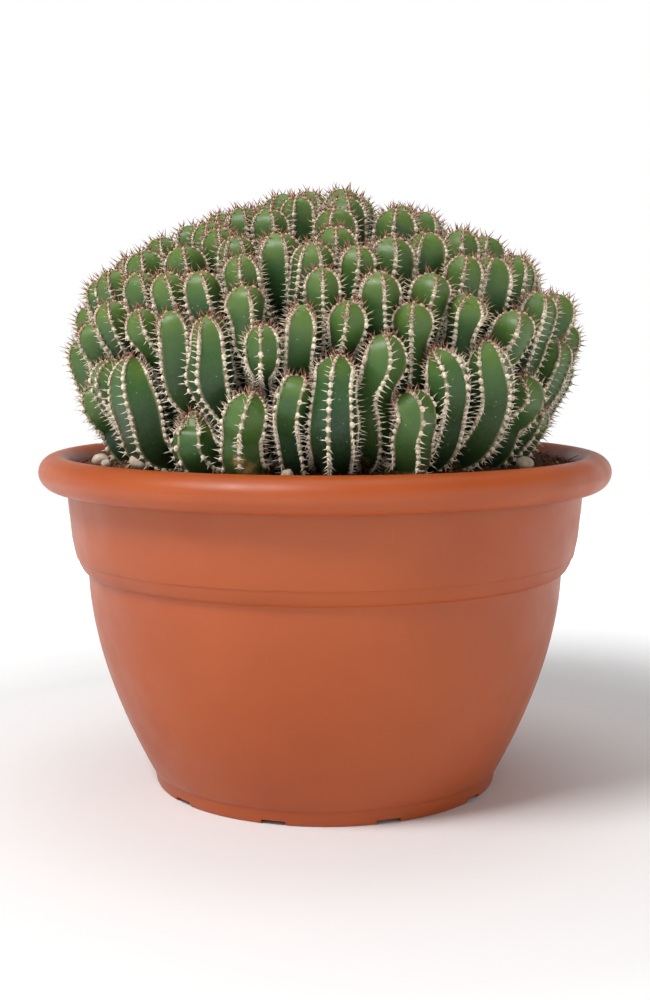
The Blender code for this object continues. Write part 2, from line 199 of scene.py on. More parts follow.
def mix(tree, factor, first, second, blend="MIX"):
    made = node(tree, "ShaderNodeMix", {"data_type": "RGBA", "blend_type": blend})
    for place, value in ((0, factor), (6, first), (7, second)):
        if isinstance(value, bpy.types.NodeSocket):
            tree.links.new(value, made.inputs[place])
        else:
            made.inputs[place].default_value = value
    return made.outputs[2]


def new_material(name):
    made = bpy.data.materials.new(name)
    made.use_nodes = True
    tree = made.node_tree
    return made, tree, tree.nodes["Principled BSDF"]


def noise_field(tree, coordinates, scale, detail=4.0, roughness=0.5):
    return node(tree, "ShaderNodeTexNoise", Vector=coordinates, Scale=scale, Detail=detail,
                Roughness=roughness).outputs["Fac"]


# Materials


def moulded_polypropylene(settings):
    """Terracotta-coloured polypropylene, injection moulded: an even satin skin that carries a faint
    spark-eroded grain from the mould and a few pale rubbed streaks."""
    made, tree, shader = new_material("moulded_terracotta_polypropylene")
    place = node(tree, "ShaderNodeTexCoord").outputs["Object"]
    cloud = noise_field(tree, place, 9.0, 3.0)
    tone = ramp(tree, cloud, ((0.3, linear(settings.pot_dark)), (0.7, linear(settings.pot_light))))
    streaks = node(tree, "ShaderNodeMapping", Vector=place, Scale=(1.0, 1.0, 0.12)).outputs["Vector"]
    rubbed = ramp(tree, noise_field(tree, streaks, 260.0, 5.0, 0.65), ((0.66, 0.0), (0.86, 1.0)))
    dusty = node(tree, "ShaderNodeMath", {"operation": "MULTIPLY"}, i0=rubbed, i1=0.22).outputs[0]
    tree.links.new(mix(tree, dusty, tone, linear("#C08A6C")), shader.inputs["Base Color"])
    grain = noise_field(tree, place, 900.0, 3.0)  # a grain of about 1 mm
    rough = ramp(tree, noise_field(tree, place, 40.0, 4.0), ((0.3, 0.38), (0.7, 0.5)))
    tree.links.new(rough, shader.inputs["Roughness"])
    bump = node(tree, "ShaderNodeBump", Strength=0.12, Distance=0.0004, Height=grain)
    tree.links.new(bump.outputs["Normal"], shader.inputs["Normal"])
    shader.inputs["IOR"].default_value = 1.49
    return made


def peat_and_coir(settings):
    """Peat mixed with coconut coir: crumbs of near-black and red-brown, with paler fibre."""
    made, tree, shader = new_material("peat_and_coir_soil")
    place = node(tree, "ShaderNodeTexCoord").outputs["Object"]
    crumbs = noise_field(tree, place, 330.0, 6.0, 0.7)
    tone = ramp(tree, crumbs, ((0.28, linear("#1E120C")), (0.45, linear(settings.soil)),
                               (0.6, linear("#75503A")), (0.78, linear("#A27A58"))))
    patches = ramp(tree, noise_field(tree, place, 38.0, 3.0), ((0.35, 0.0), (0.7, 1.0)))
    tree.links.new(mix(tree, patches, tone, mix(tree, 0.5, tone, linear("#6E3F27"))),
                   shader.inputs["Base Color"])
    shader.inputs["Roughness"].default_value = 0.95
    bump = node(tree, "ShaderNodeBump", Strength=0.9, Distance=0.002, Height=crumbs)
    tree.links.new(bump.outputs["Normal"], shader.inputs["Normal"])
    return made


def coir_fibre(settings):
    """Loose coconut fibre: matt, rust to straw-coloured threads and chips."""
    made, tree, shader = new_material("coir_fibre")
    place = node(tree, "ShaderNodeTexCoord").outputs["Object"]
    tone = ramp(tree, noise_field(tree, place, 180.0, 3.0), ((0.3, linear("#4A2A1B")),
                (0.5, linear("#7E5236")), (0.7, linear("#B08A62"))))
    tree.links.new(tone, shader.inputs["Base Color"])
    shader.inputs["Roughness"].default_value = 0.9
    return made


def river_pebble(settings):
    """Water-worn quartz and limestone: pale beige, dusty, with a fine mottle."""
    made, tree, shader = new_material("water_worn_pebble")
    place = node(tree, "ShaderNodeTexCoord").outputs["Object"]
    tone = ramp(tree, noise_field(tree, place, 120.0, 6.0, 0.65), ((0.3, linear("#8E7A66")),
                (0.5, linear(settings.pebble)), (0.72, linear("#E6DACA"))))
    tree.links.new(tone, shader.inputs["Base Color"])
    shader.inputs["Roughness"].default_value = 0.75
    bump = node(tree, "ShaderNodeBump", Strength=0.4, Distance=0.0006,
                Height=noise_field(tree, place, 700.0, 4.0))
    tree.links.new(bump.outputs["Normal"], shader.inputs["Normal"])
    return made


def stem_skin(settings):
    """Waxy succulent skin: yellow-green where it is young at the tip, deep blue-green lower down, and turned
    to tan cork at the old foot. The darkening lower down is partly the older skin's own colour and partly
    painted shade of the gaps between the stems. "growth" holds age, facet place, tint and cork."""
    made, tree, shader = new_material("waxy_succulent_skin")
    place = node(tree, "ShaderNodeTexCoord").outputs["Object"]
    growth = node(tree, "ShaderNodeAttribute", {"attribute_name": "growth"}).outputs["Color"]
    parts = node(tree, "ShaderNodeSeparateColor", Color=growth)
    age, edge, tint = parts.outputs[0], parts.outputs[1], parts.outputs[2]
    cork = node(tree, "ShaderNodeAttribute", {"attribute_name": "cork"}).outputs["Fac"]
    wander = noise_field(tree, place, 60.0, 4.0)
    shifted = node(tree, "ShaderNodeMath", {"operation": "MULTIPLY_ADD"}, i0=wander, i1=0.3, i2=-0.15)
    age_and_shade = node(tree, "ShaderNodeMath", {"operation": "ADD"}, i0=age, i1=shifted.outputs[0])
    # Darker down the stem: partly the older skin's own colour, partly painted shade of the deep gaps between
    # stems
    skin = ramp(tree, age_and_shade.outputs[0], (
        (0.0, linear(settings.stem_young)), (0.22, linear(settings.stem_top)),
        (0.5, linear(settings.stem_green)), (1.0, linear(settings.stem_old_and_shaded)),
    ))
    skin = mix(tree, tint, skin, mix(tree, 0.5, skin, linear("#4C6A2C")))
    mottle = ramp(tree, noise_field(tree, place, 420.0, 3.0), ((0.4, 0.0), (0.75, 1.0)))
    soft = node(tree, "ShaderNodeMath", {"operation": "MULTIPLY"}, i0=mottle, i1=0.22).outputs[0]
    skin = mix(tree, soft, skin, linear("#4A6A44"))
    specks = node(tree, "ShaderNodeTexVoronoi", {"feature": "F1"}, Vector=place, Scale=190.0)
    dots = ramp(tree, specks.outputs["Distance"], ((0.06, 1.0), (0.1, 0.0)))
    faint = node(tree, "ShaderNodeMath", {"operation": "MULTIPLY"}, i0=dots, i1=0.35).outputs[0]
    skin = mix(tree, faint, skin, linear("#B9C8A0"))
    margin = ramp(tree, edge, ((0.80, 0.0), (0.95, 1.0)))
    skin = mix(tree, margin, skin, linear("#8F8A62"))
    patch = node(tree, "ShaderNodeMath", {"operation": "MULTIPLY_ADD"}, i0=wander, i1=0.9, i2=-0.45)
    corky = node(tree, "ShaderNodeMath", {"operation": "ADD"}, i0=cork, i1=patch.outputs[0])
    corked = ramp(tree, corky.outputs[0], ((0.5, 0.0), (0.62, 1.0)))
    bark = ramp(tree, noise_field(tree, place, 240.0, 5.0), ((0.3, linear("#6E5433")),
                (0.55, linear("#A58A52")), (0.75, linear("#C2A766"))))
    tree.links.new(mix(tree, corked, skin, bark), shader.inputs["Base Color"])
    shine = ramp(tree, corky.outputs[0], ((0.5, 0.42), (0.62, 0.85)))
    tree.links.new(shine, shader.inputs["Roughness"])
    bump = node(tree, "ShaderNodeBump", Strength=0.25, Distance=0.0006,
                Height=noise_field(tree, place, 500.0, 3.0))
    tree.links.new(bump.outputs["Normal"], shader.inputs["Normal"])
    shader.inputs["IOR"].default_value = 1.42
    return made


def horn_cushion(settings):
    """The horny rib edge and its spine cushions: dry, cream to pinkish grey, browner when young."""
    made, tree, shader = new_material("horny_rib_cushion")
    place = node(tree, "ShaderNodeTexCoord").outputs["Object"]
    growth = node(tree, "ShaderNodeAttribute", {"attribute_name": "growth"}).outputs["Color"]
    age = node(tree, "ShaderNodeSeparateColor", Color=growth).outputs[0]
    old = ramp(tree, noise_field(tree, place, 260.0, 3.0), ((0.3, linear("#8C7A66")),
               (0.5, linear(settings.cushion)), (0.7, linear("#EDE3CF"))))
    young = ramp(tree, age, ((0.0, 1.0), (0.1, 0.0)))
    tree.links.new(mix(tree, young, old, linear("#BC9A80")), shader.inputs["Base Color"])
    shader.inputs["Roughness"].default_value = 0.8
    return made


def spine_horn(settings):
    """Spines: hard horn, cream when grown and red-brown while young, always darker to the point."""
    made, tree, shader = new_material("spine_horn")
    growth = node(tree, "ShaderNodeAttribute", {"attribute_name": "growth"}).outputs["Color"]
    parts = node(tree, "ShaderNodeSeparateColor", Color=growth)
    grown = ramp(tree, parts.outputs[0], ((0.03, linear(settings.spine_young)),
                 (0.13, linear("#CDB79C")), (0.3, linear(settings.spine_old))))
    point = ramp(tree, parts.outputs[1], ((0.55, 0.0), (1.0, 0.8)))
    tree.links.new(mix(tree, point, grown, linear("#4A2E22")), shader.inputs["Base Color"])
    shader.inputs["Roughness"].default_value = 0.5
    return made


# Mesh helpers


def deselect():
    if bpy.context.mode != "OBJECT":
        bpy.ops.object.mode_set(mode="OBJECT")
    bpy.ops.object.select_all(action="DESELECT")


def name_piece(name, *materials):
    """Names the active object and its mesh, applies its place and gives it its materials."""
    piece = bpy.context.object
    piece.name = name
    piece.data.name = name
    bpy.ops.object.transform_apply(location=True, rotation=True, scale=True)
    piece.data.materials.clear()
    for material in materials:
        piece.data.materials.append(material)
    return piece


def apply_boolean(piece, cutters, operation="DIFFERENCE"):
    for cutter in cutters:
        bpy.context.view_layer.objects.active = piece
        modifier = piece.modifiers.new("cut", "BOOLEAN")
        modifier.operation = operation
        modifier.object = cutter
        bpy.ops.object.modifier_apply(modifier=modifier.name)
        bpy.data.objects.remove(cutter)


def polar(azimuth, radius, height):
    return np.array([radius * math.sin(azimuth), -radius * math.cos(azimuth), height])


# The pot


def bowl_radius(height):
    drop = (BODY_HEIGHT - height) / (BODY_HEIGHT - FOOT_HEIGHT)
    return BODY_RADIUS - BODY_FLARE * drop**BODY_POWER


def lip_arc(start, end, count, inset):
    points = []
    for angle in np.linspace(start, end, count):
        reach = (LIP_OUT if math.cos(angle) > 0 else LIP_IN) - inset
        rise = LIP_RISE - inset
        points.append((LIP_CENTRE[0] + reach * math.cos(angle), LIP_CENTRE[1] + rise * math.sin(angle)))
    return points


def pot_outline():
    """The pot's wall from the middle of its floor, over the lip and down to its underside."""
    floor = [(0.5, FLOOR_UNDER + WALL), (60.0, FLOOR_UNDER + WALL)]
    inside = [(bowl_radius(z) - WALL, z) for z in np.linspace(FLOOR_UNDER + WALL, BODY_HEIGHT, 12)]
    inside += [(171.0, 161.5), (174.8, 176.0), (177.2, 202.0)]
    lip = lip_arc(math.pi, LIP_CURL, 36, 0.0)
    hollow = lip_arc(LIP_CURL, math.radians(160), 16, WALL)
    wall = [(180.6, 214.0), (180.3, 202.0), (179.2, 189.0), (178.0, 176.0), (176.3, 167.5)]
    band = [(175.7, 164.6), (175.3, 163.2), (174.5, 162.6), (174.1, 162.0), (174.0, 161.2), (173.2, 158.8),
            (171.3, 155.0), (169.6, 153.0), (168.4, 152.4), (167.5, 152.2), (167.1, 151.7)]
    bowl = [(bowl_radius(z), z) for z in np.linspace(BODY_HEIGHT, FOOT_HEIGHT + 0.6, 34)]
    foot = [(bowl_radius(FOOT_HEIGHT) - 0.7, 10.0), (FOOT_RADIUS + 2.2, 9.4), (FOOT_RADIUS + 0.5, 1.0),
            (FOOT_RADIUS + 0.1, 0.3), (FOOT_RADIUS - 0.4, 0.0), (FOOT_RADIUS - FOOT_WIDTH + 0.4, 0.0),
            (FOOT_RADIUS - FOOT_WIDTH, 0.4), (FOOT_RADIUS - FOOT_WIDTH, FLOOR_UNDER), (60.0, FLOOR_UNDER),
            (0.5, FLOOR_UNDER)]
    return floor + inside + lip + hollow + wall + band + bowl + foot


def extrude_outline(outline, steps):
    """Turns an outline as by hand: a circle, extruded and resized ring by ring, closed at both poles."""
    deselect()
    radius, height = outline[0]
    bpy.ops.mesh.primitive_circle_add(vertices=steps, radius=radius * MM, fill_type="NGON",
                                      location=(0.0, 0.0, height * MM))
    bpy.ops.object.mode_set(mode="EDIT")
    bpy.ops.mesh.select_all(action="SELECT")
    bpy.ops.mesh.delete(type="ONLY_FACE")
    bpy.ops.mesh.select_all(action="SELECT")
    for (old_radius, old_height), (new_radius, new_height) in zip(outline, outline[1:]):
        bpy.ops.mesh.extrude_edges_move(
            TRANSFORM_OT_translate={"value": (0.0, 0.0, (new_height - old_height) * MM)})
        share = new_radius / old_radius
        bpy.ops.transform.resize(value=(share, share, 1.0), center_override=(0.0, 0.0, 0.0))
    bpy.ops.mesh.select_all(action="SELECT")
    bpy.ops.mesh.fill_holes(sides=0)
    bpy.ops.mesh.normals_make_consistent(inside=False)
    bpy.ops.object.mode_set(mode="OBJECT")


def drain_cutters():
    cutters = []
    for i in range(NOTCHES):
        azimuth = NOTCH_FIRST + i * 2 * math.pi / NOTCHES
        bpy.ops.mesh.primitive_cube_add(size=1.0, location=polar(azimuth, FOOT_RADIUS, 0.0) * MM,
                                        rotation=(0.0, 0.0, azimuth))
        notch = bpy.context.object
        notch.scale = (NOTCH_WIDTH * MM, 20.0 * MM, 2 * NOTCH_RISE * MM)
        bpy.ops.object.transform_apply(location=False, rotation=False, scale=True)
        bevel = notch.modifiers.new("round", "BEVEL")
        bevel.width = 1.2 * MM
        bevel.segments = 3
        bpy.ops.object.modifier_apply(modifier=bevel.name)
        cutters.append(notch)
    for i in range(DRAIN_HOLES):
        azimuth = NOTCH_FIRST + i * 2 * math.pi / DRAIN_HOLES
        bpy.ops.mesh.primitive_cylinder_add(vertices=32, radius=DRAIN_RADIUS * MM, depth=20.0 * MM,
                                            location=polar(azimuth, DRAIN_CIRCLE, FLOOR_UNDER) * MM)
        cutters.append(bpy.context.object)
    return cutters


# The clump's outline and growth, the same as the frame's


def dome_radius(height):
    if height < DOME_WIDE_HEIGHT:
        return DOME_RADIUS - SKIRT_DRAW * ((DOME_WIDE_HEIGHT - height) / SKIRT_HEIGHT) ** 2
    share = min(1.0, (height - DOME_WIDE_HEIGHT) / (DOME_TOP - DOME_WIDE_HEIGHT))
    return DOME_RADIUS * (1.0 - share**DOME_POWER)


def dome_point(azimuth, elevation):
    near, far = 20.0, 300.0
    for _ in range(40):
        middle = (near + far) / 2
        height = HEART + middle * math.sin(elevation)
        inside = height < DOME_TOP and middle * math.cos(elevation) < dome_radius(height)
        near, far = (middle, far) if inside else (near, middle)
    return polar(azimuth, near * math.cos(elevation), HEART + near * math.sin(elevation))


def dome_shares():
    elevations = np.radians(np.arange(90.0, -11.0, -1.0))
    rings = [dome_point(0.0, elevation) for elevation in elevations]
    area = [0.0]
    for upper, lower in zip(rings, rings[1:]):
        area.append(area[-1] - (upper[1] + lower[1]) * np.linalg.norm(upper - lower))
    return elevations, np.array(area) / area[-1]


def all_tips():
    tips = []
    for degrees, elevation, girth in FRONT_STEMS:
        tips.append((dome_point(math.radians(degrees), math.radians(elevation)), float(girth)))
    chance = random.Random(FILL_SEED)
    elevations, shares = dome_shares()
    for _ in range(FILL_TRIES):
        azimuth = chance.uniform(-math.pi, math.pi)
        elevation = np.interp(chance.random(), shares, elevations)
        girth = chance.uniform(*FILL_GIRTHS)
        if elevation < FILL_LOWEST:
            continue
        point = dome_point(azimuth, elevation)
        taken = np.array([other for other, _ in tips])
        if np.linalg.norm(taken - point, axis=1).min() > FILL_SPACING:
            tips.append((point, girth))
    points = np.array([point for point, _ in tips])
    return spread_tips(points), np.array([girth for _, girth in tips])


def spread_tips(points):
    for _ in range(SETTLE_ROUNDS):
        between = points[:, None] - points[None]
        distance = np.linalg.norm(between, axis=2) + np.eye(len(points)) * 1e6
        push = np.clip(TIP_SPACING - distance, 0.0, None) / distance * 0.25
        points = points + (between * push[:, :, None]).sum(axis=1)
        points = np.array([onto_dome(point) for point in points])
    return points


def onto_dome(point):
    azimuth = math.atan2(point[0], -point[1])
    elevation = math.atan2(point[2] - HEART, math.hypot(point[0], point[1]))
    return dome_point(azimuth, elevation)


def stem_axis(tip, shares_above):
    elevations, shares = shares_above
    flat = math.hypot(tip[0], tip[1])
    azimuth = math.atan2(tip[0], -tip[1])
    elevation = math.atan2(tip[2] - HEART, flat)
    share = np.interp(-elevation, -elevations, shares)
    foot = polar(azimuth, FOOT_SPREAD * math.sqrt(share), SOIL_LEVEL + FIT_GAP)
    rise, run = tip[2] - foot[2], flat - math.hypot(foot[0], foot[1])
    lean = math.atan2(run, rise)
    length = math.hypot(rise, run)
    outward = polar(azimuth, math.sin(FOOT_LEAN * lean), math.cos(FOOT_LEAN * lean))
    upward = polar(azimuth, math.sin(TIP_LEAN * lean), math.cos(TIP_LEAN * lean))
    handles = (foot, foot + outward * 0.33 * length, tip - upward * 0.45 * length, tip)
    rings = []
    for t in (*STEM_RINGS, 1.0 - SHOULDER_DROP / length, 1.0):
        weights = ((1 - t) ** 3, 3 * t * (1 - t) ** 2, 3 * t * t * (1 - t), t**3)
        rings.append(sum(weight * handle for weight, handle in zip(weights, handles)))
    return np.array(rings)


def limb_groups(feet):
    turns = np.arange(LIMBS) * math.pi * (3 - math.sqrt(5))
    reach = FOOT_SPREAD * np.sqrt((np.arange(LIMBS) + 0.5) / LIMBS)
    centres = np.stack([reach * np.cos(turns), reach * np.sin(turns)], axis=1)
    for _ in range(25):
        nearest = np.linalg.norm(feet[:, None] - centres[None], axis=2).argmin(axis=1)
        for limb in set(nearest):
            centres[limb] = feet[nearest == limb].mean(axis=0)
    order = sorted(set(nearest), key=lambda limb: (round(centres[limb][1] / 30), centres[limb][0]))
    return [np.nonzero(nearest == limb)[0] for limb in order]


def settle(axes, girths):
    swell = np.array(STEM_SWELL)
    reach = (girths[:, None] / 2 * swell[None]).reshape(-1)
    rings = len(STEM_SWELL)
    stem = np.repeat(np.arange(len(axes)), rings)
    yielding = np.tile([0.5, 0.5, 0.5, 0.3, 0.3], len(axes))
    points = axes.reshape(-1, 3).copy()
    wanted = reach[:, None] + reach[None] + LIMB_GAP
    for _ in range(SETTLE_ROUNDS):
        between = points[:, None] - points[None]
        distance = np.linalg.norm(between, axis=2)
        distance[stem[:, None] == stem[None]] = 1e6
        push = np.clip(wanted - distance, 0.0, None) / distance * 0.4
        move = (between * push[:, :, None]).sum(axis=1) * yielding[:, None]
        move[:, 2] *= np.tile([0.0, 0.2, 0.3, 0.3, 0.3], len(axes))
        points += move
    return points.reshape(axes.shape)


# Stems in detail


def smooth_path(rings):
    """A stem's axis from under the soil to its tip, evenly spaced, and the distance below the tip."""
    foot = rings[0] - (rings[1] - rings[0]) / np.linalg.norm(rings[1] - rings[0]) * BURIED
    knots = np.vstack([foot, rings])
    gaps = np.linalg.norm(np.diff(knots, axis=0), axis=1)
    at = np.concatenate([[0.0], np.cumsum(gaps)])
    tangents = np.gradient(knots, at, axis=0)
    count = max(8, int(at[-1] / RING_STEP))
    wanted = np.linspace(0.0, at[-1], count * 4)
    path = np.array([hermite(knots, tangents, at, s) for s in wanted])
    lengths = np.concatenate([[0.0], np.cumsum(np.linalg.norm(np.diff(path, axis=0), axis=1))])
    return path, lengths


def hermite(knots, tangents, at, s):
    i = min(int(np.searchsorted(at, s, side="right")) - 1, len(at) - 2)
    span = at[i + 1] - at[i]
    t = (s - at[i]) / span
    return ((2 * t**3 - 3 * t**2 + 1) * knots[i] + (t**3 - 2 * t**2 + t) * span * tangents[i]
            + (3 * t**2 - 2 * t**3) * knots[i + 1] + (t**3 - t**2) * span * tangents[i + 1])


class Stem:
    """One stem's path, frame and thickness, with what varies from stem to stem."""

    def __init__(self, rings, girth, chance):
        self.path, self.lengths = smooth_path(rings)
        self.total = self.lengths[-1]
        self.radius = girth / 2 * chance.uniform(0.98, 1.12)
        self.ribs = chance.choice(RIB_CHOICES)
        self.turn = chance.uniform(0.0, 2 * math.pi)
        self.tint = chance.random() ** 2
        self.wave = chance.uniform(0.0, 2 * math.pi)
        self.cork = chance.random()
        self.twist = chance.uniform(-0.15, 0.15)
        self.room = None

    def along_path(self, s):
        return np.array([np.interp(s, self.lengths, self.path[:, k]) for k in range(3)])

    def at(self, s):
        """Axis point and frame at distance s from the buried foot."""
        point = self.along_path(s)
        ahead = self.along_path(min(s + 2.0, self.total))
        behind = self.along_path(max(s - 2.0, 0.0))
        along = (ahead - behind) / np.linalg.norm(ahead - behind)
        side = np.cross(along, (0.0, 1.0, 0.0))
        side /= np.linalg.norm(side)
        return point, along, side, np.cross(side, along)

    def thickness(self, s):
        """Radius to the rib crests at s: domed at the tip, gently waved below, drawn in at the foot."""
        down = self.total - s
        cap = self.radius * DOME_SHARE
        dome = math.sqrt(max(0.0, 1.0 - max(0.0, (cap - down) / cap) ** 2)) if down < cap else 1.0
        wave = 1.0 + WAVE[0] * math.sin(down / WAVE[1] + self.wave)
        foot = FOOT_THIN + (1.0 - FOOT_THIN) * min(1.0, s / (FOOT_TAPER * self.total))
        room = np.interp(s, self.lengths, self.room)
        return min(self.radius * wave * foot, room) * dome


def facet_radius(across, ribs):
    """The skin's radius across a facet, as a share of the rib crest's: nearly flat, a little full."""
    half = math.pi / ribs
    angle = (across - 0.5) * 2 * half
    flat = math.cos(half) / math.cos(angle)
    fullness = 0.32 if ribs == 4 else 0.16
    return (flat + (1.0 - flat) * fullness) * FACET_SHARE


def ring_places(stem):
    """Distances along a stem for its rings, closer together over the dome."""
    cap = stem.radius * DOME_SHARE
    body = list(np.linspace(0.0, stem.total - cap, max(4, int((stem.total - cap) / RING_STEP))))
    turns = np.linspace(0.0, math.pi / 2, DOME_RINGS)[1:]
    dome = [stem.total - cap * (1 - math.sin(angle)) for angle in turns]
    dome[-1] = stem.total - 0.05
    return body + dome


class MeshParts:
    """Collects points, faces, materials and growth values for one piece."""

    def __init__(self):
        self.points, self.faces, self.slots, self.growth, self.cork = [], [], [], [], []

    def add(self, points, faces, slot, growth, cork):
        start = len(self.points)
        self.points.extend(points)
        self.faces.extend([[start + corner for corner in face] for face in faces])
        self.slots.extend([slot] * len(faces))
        self.growth.extend(growth)
        self.cork.extend(cork)

    def build(self, name, materials):
        mesh = bpy.data.meshes.new(name)
        mesh.from_pydata([tuple(point * MM) for point in self.points], [], self.faces)
        mesh.polygons.foreach_set("material_index", self.slots)
        mesh.polygons.foreach_set("use_smooth", [True] * len(self.faces))
        growth = mesh.attributes.new("growth", "FLOAT_COLOR", "POINT")
        values = np.array([(*value, 1.0) for value in self.growth], np.float32)
        growth.data.foreach_set("color", values.ravel())
        cork = mesh.attributes.new("cork", "FLOAT", "POINT")
        cork.data.foreach_set("value", np.array(self.cork, np.float32))
        for material in materials:
            mesh.materials.append(material)
        mesh.validate()
        piece = bpy.data.objects.new(name, mesh)
        bpy.context.scene.collection.objects.link(piece)
        return piece


def stem_age(stem, s):
    """0 at the tip, 1 where the skin is old."""
    return min(1.0, (stem.total - s) / AGE_LENGTH)


def cork_amount(stem, s):
    """How far the skin has turned to cork: only by the foot, and more on some stems."""
    height = max(0.0, s - BURIED)
    return max(0.0, 1.15 * stem.cork - height / 62.0) if stem.cork > 0.55 else 0.0


def add_skin(parts, stem):
    places = ring_places(stem)
    around = stem.ribs * len(SECTOR)
    points, growth, cork = [], [], []
    for s in places:
        centre, along, side, front = stem.at(s)
        reach = stem.thickness(s)
        for rib in range(stem.ribs):
            for across in SECTOR:
                angle = stem.turn + stem.twist * s / 60 + (rib + across) * 2 * math.pi / stem.ribs
                radius = reach * (facet_radius(across, stem.ribs) if across else CREST_SKIN)
                points.append(centre + (side * math.cos(angle) + front * math.sin(angle)) * radius)
                growth.append((stem_age(stem, s), abs(across - 0.5) * 2, stem.tint))
                cork.append(cork_amount(stem, s))
    faces = []
    for ring in range(len(places) - 1):
        for k in range(around):
            low, high = ring * around, (ring + 1) * around
            after = (k + 1) % around
            faces.append((low + k, low + after, high + after, high + k))
    faces.append(tuple(range(around))[::-1])
    top = (len(places) - 1) * around
    faces.append(tuple(range(top, top + around)))
    parts.add(points, faces, 0, growth, cork)


def pad_places(stem):
    """Where the cushions sit along a rib: evenly, but crowded together over the young dome."""
    places = []
    down = 1.2
    while down < min(PAD_DEPTH, stem.total - BURIED + 2.0):
        places.append(stem.total - down)
        down += 2.3 if down < stem.radius * 0.8 else PAD_STEP
    return places


def add_pad(parts, centre, out, along, tangent, size, age, chance):
    """One spine cushion: a low boss, longer along the rib than across it."""
    points = []
    for level, spread in ((-0.25, 1.0), (0.55, 0.72)):
        for k in range(PAD_SIDES):
            angle = 2 * math.pi * k / PAD_SIDES
            points.append(centre + out * level * size + along * math.cos(angle) * size * 1.25 * spread
                          + tangent * math.sin(angle) * size * 0.95 * spread)
    points.append(centre + out * size * 0.85)
    round_pad = [(k, (k + 1) % PAD_SIDES) for k in range(PAD_SIDES)]
    faces = [(k, after, PAD_SIDES + after, PAD_SIDES + k) for k, after in round_pad]
    faces += [(PAD_SIDES + k, PAD_SIDES + after, 2 * PAD_SIDES) for k, after in round_pad]
    faces.append(tuple(range(PAD_SIDES))[::-1])
    growth = [(age, chance.random(), 0.0)] * len(points)
    parts.add(points, faces, 1, growth, [0.0] * len(points))


def add_spine(parts, base, direction, length, width, age):
    """One spine: a slender four-sided point."""
    side = np.cross(direction, (0.31, 0.17, 0.93))
    side /= np.linalg.norm(side)
    other = np.cross(direction, side)
    points = [base + side * width, base + other * width, base - side * width, base - other * width]
    points.append(base + direction * length)
    faces = [(0, 1, 4), (1, 2, 4), (2, 3, 4), (3, 0, 4), (3, 2, 1, 0)]
    growth = [(age, 0.0, 0.0)] * 4 + [(age, 1.0, 0.0)]
    parts.add(points, faces, 2, growth, [0.0] * 5)


def add_ribs(parts, stem, chance):
    """Cushions and paired spines down every rib."""
    places = pad_places(stem)
    for rib in range(stem.ribs):
        shift = chance.uniform(-0.8, 0.8)
        for s in places:
            s = min(stem.total - 0.4, s + shift)
            centre, along, side, front = stem.at(s)
            angle = stem.turn + stem.twist * s / 60 + rib * 2 * math.pi / stem.ribs
            radial = side * math.cos(angle) + front * math.sin(angle)
            tangent = front * math.cos(angle) - side * math.sin(angle)
            slope = (stem.thickness(min(s + 0.5, stem.total)) - stem.thickness(s - 0.5))
            out = radial - along * slope
            out /= np.linalg.norm(out)
            rise = np.cross(tangent, out)
            rise = rise if np.dot(rise, along) > 0 else -rise
            crest = centre + radial * stem.thickness(s) * CREST_PAD
            age = stem_age(stem, s)
            young = age < 0.14
            size = chance.uniform(1.55, 2.0) * (0.8 if young else 1.0)
            add_pad(parts, crest, out, rise, tangent, size, age, chance)
            for way in (-1.0, 1.0):
                spread = chance.uniform(0.55, 1.0) * (0.6 if young else 1.0)
                lift = chance.uniform(-0.1, 0.35)
                direction = out * chance.uniform(0.6, 0.9) + tangent * way * spread + rise * lift
                direction /= np.linalg.norm(direction)
                length = SPINE_LENGTH * chance.uniform(0.7, 1.25) * (1.15 if young else 1.0)
                base = crest + out * size * 0.45 + tangent * way * size * 0.3
                add_spine(parts, base, direction, length, chance.uniform(0.42, 0.58), age)


def stem_rooms(stems):
    """Half the distance from each path point to the nearest other stem, a little more so ribs mesh."""
    coarse = [stem.path[::4] for stem in stems]
    owner = np.concatenate([np.full(len(points), i) for i, points in enumerate(coarse)])
    everything = np.concatenate(coarse)
    for i, stem in enumerate(stems):
        others = everything[owner != i]
        nearest = np.linalg.norm(stem.path[:, None] - others[None], axis=2).min(axis=1)
        stem.room = np.maximum(6.0, nearest * 0.6)


# Settings


def colour_text(name, description, default):
    return bpy.props.StringProperty(name=name, description=description, default=default)


class CactusSettings(bpy.types.PropertyGroup):
    pot_steps: bpy.props.IntProperty(
        name="Pot steps", description="Facets round the pot", default=192, min=48
    )
    pot_dark: colour_text("Pot, dark", "Darker tone of the pot's plastic", "#A04514")
    pot_light: colour_text("Pot, light", "Lighter tone of the pot's plastic", "#AC4F1B")
    soil: colour_text("Soil", "Main colour of the soil", "#4A2C1E")
    pebble: colour_text("Pebble", "Main colour of the pebbles", "#BFAE98")
    stem_young: colour_text("Stem, tip", "Skin at the growing tip", "#5E7630")
    stem_top: colour_text("Stem, upper", "Skin near the tip", "#305224")
    stem_green: colour_text("Stem, middle", "Skin half way down", "#17331B")
    # Lower skin: partly the old skin's own colour, partly painted shade of the gaps between stems
    stem_old_and_shaded: colour_text("Stem, lower", "Skin on the old part", "#0E2016")
    cushion: colour_text("Cushion", "The horny spine cushions", "#D6C8B4")
    spine_young: colour_text("Spine, young", "Spines at the growing tip", "#94604A")
    spine_old: colour_text("Spine, grown", "Spines on the old part", "#EADFCB")


class CACTUS_OT_pot(bpy.types.Operator):
    """Turns the plastic bowl and cuts its drain notches and holes"""

    bl_idname = "cactus.pot"
    bl_label = "Plastic bowl"

    def execute(self, context):
        settings = context.scene.cactus
        extrude_outline(pot_outline(), settings.pot_steps)
        pot = bpy.context.object
        apply_boolean(pot, drain_cutters())
        deselect()
        pot.select_set(True)
        bpy.context.view_layer.objects.active = pot
        bpy.ops.object.shade_smooth_by_angle(angle=math.radians(32))
        name_piece("bowl", moulded_polypropylene(settings))
        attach(pot, "root")
        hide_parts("pot")
        return {"FINISHED"}


